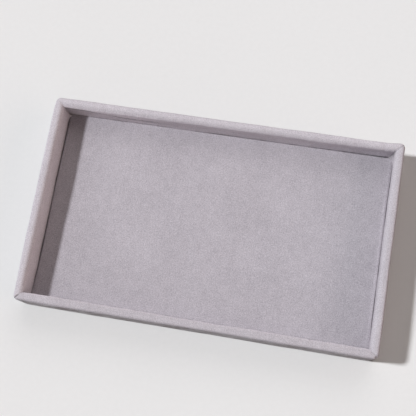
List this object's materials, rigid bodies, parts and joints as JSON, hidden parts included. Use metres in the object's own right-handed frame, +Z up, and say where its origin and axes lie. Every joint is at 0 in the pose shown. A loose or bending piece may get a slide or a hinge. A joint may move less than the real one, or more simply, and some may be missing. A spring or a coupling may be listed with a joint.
{
  "type": "valet tray",
  "caption": "Low rectangular valet tray covered in pale grey velvet, with a padded mitred rim, a seamed floor panel and a felt underside.",
  "frame": {"origin": "centre of the tray's underside, on the bottom face of the felt lining", "axes": "+X along the tray's length to its right end, +Y across its depth to the back wall, +Z up out of the open tray"},
  "size_m": [0.3, 0.1784, 0.033],
  "materials": {
    "velvet": "short pale lavender-grey nap",
    "fibreboard": "raw medium-density fibreboard",
    "greyboard": "matte",
    "foam": "soft open foam",
    "felt": "pressed charcoal felt",
    "brad_steel": "satin"
  },
  "bodies": {
    "root": {"back_base_brad_1": "brad_steel", "back_base_brad_2": "brad_steel", "back_base_brad_3": "brad_steel", "back_left_corner_brad_1": "brad_steel", "back_left_corner_brad_2": "brad_steel", "back_right_corner_brad_1": "brad_steel", "back_right_corner_brad_2": "brad_steel", "back_rim_padding": "foam", "back_wall_board": "fibreboard", "back_wall_cover": "velvet", "base_board": "fibreboard", "bottom_lining": "felt", "floor_panel_board": "greyboard", "floor_panel_cover": "velvet", "floor_panel_foam": "foam", "front_base_brad_1": "brad_steel", "front_base_brad_2": "brad_steel", "front_base_brad_3": "brad_steel", "front_left_corner_brad_1": "brad_steel", "front_left_corner_brad_2": "brad_steel", "front_right_corner_brad_1": "brad_steel", "front_right_corner_brad_2": "brad_steel", "front_rim_padding": "foam", "front_wall_board": "fibreboard", "front_wall_cover": "velvet", "left_base_brad_1": "brad_steel", "left_base_brad_2": "brad_steel", "left_rim_padding": "foam", "left_wall_board": "fibreboard", "left_wall_cover": "velvet", "right_base_brad_1": "brad_steel", "right_base_brad_2": "brad_steel", "right_rim_padding": "foam", "right_wall_board": "fibreboard", "right_wall_cover": "velvet"}
  },
  "joints": []
}
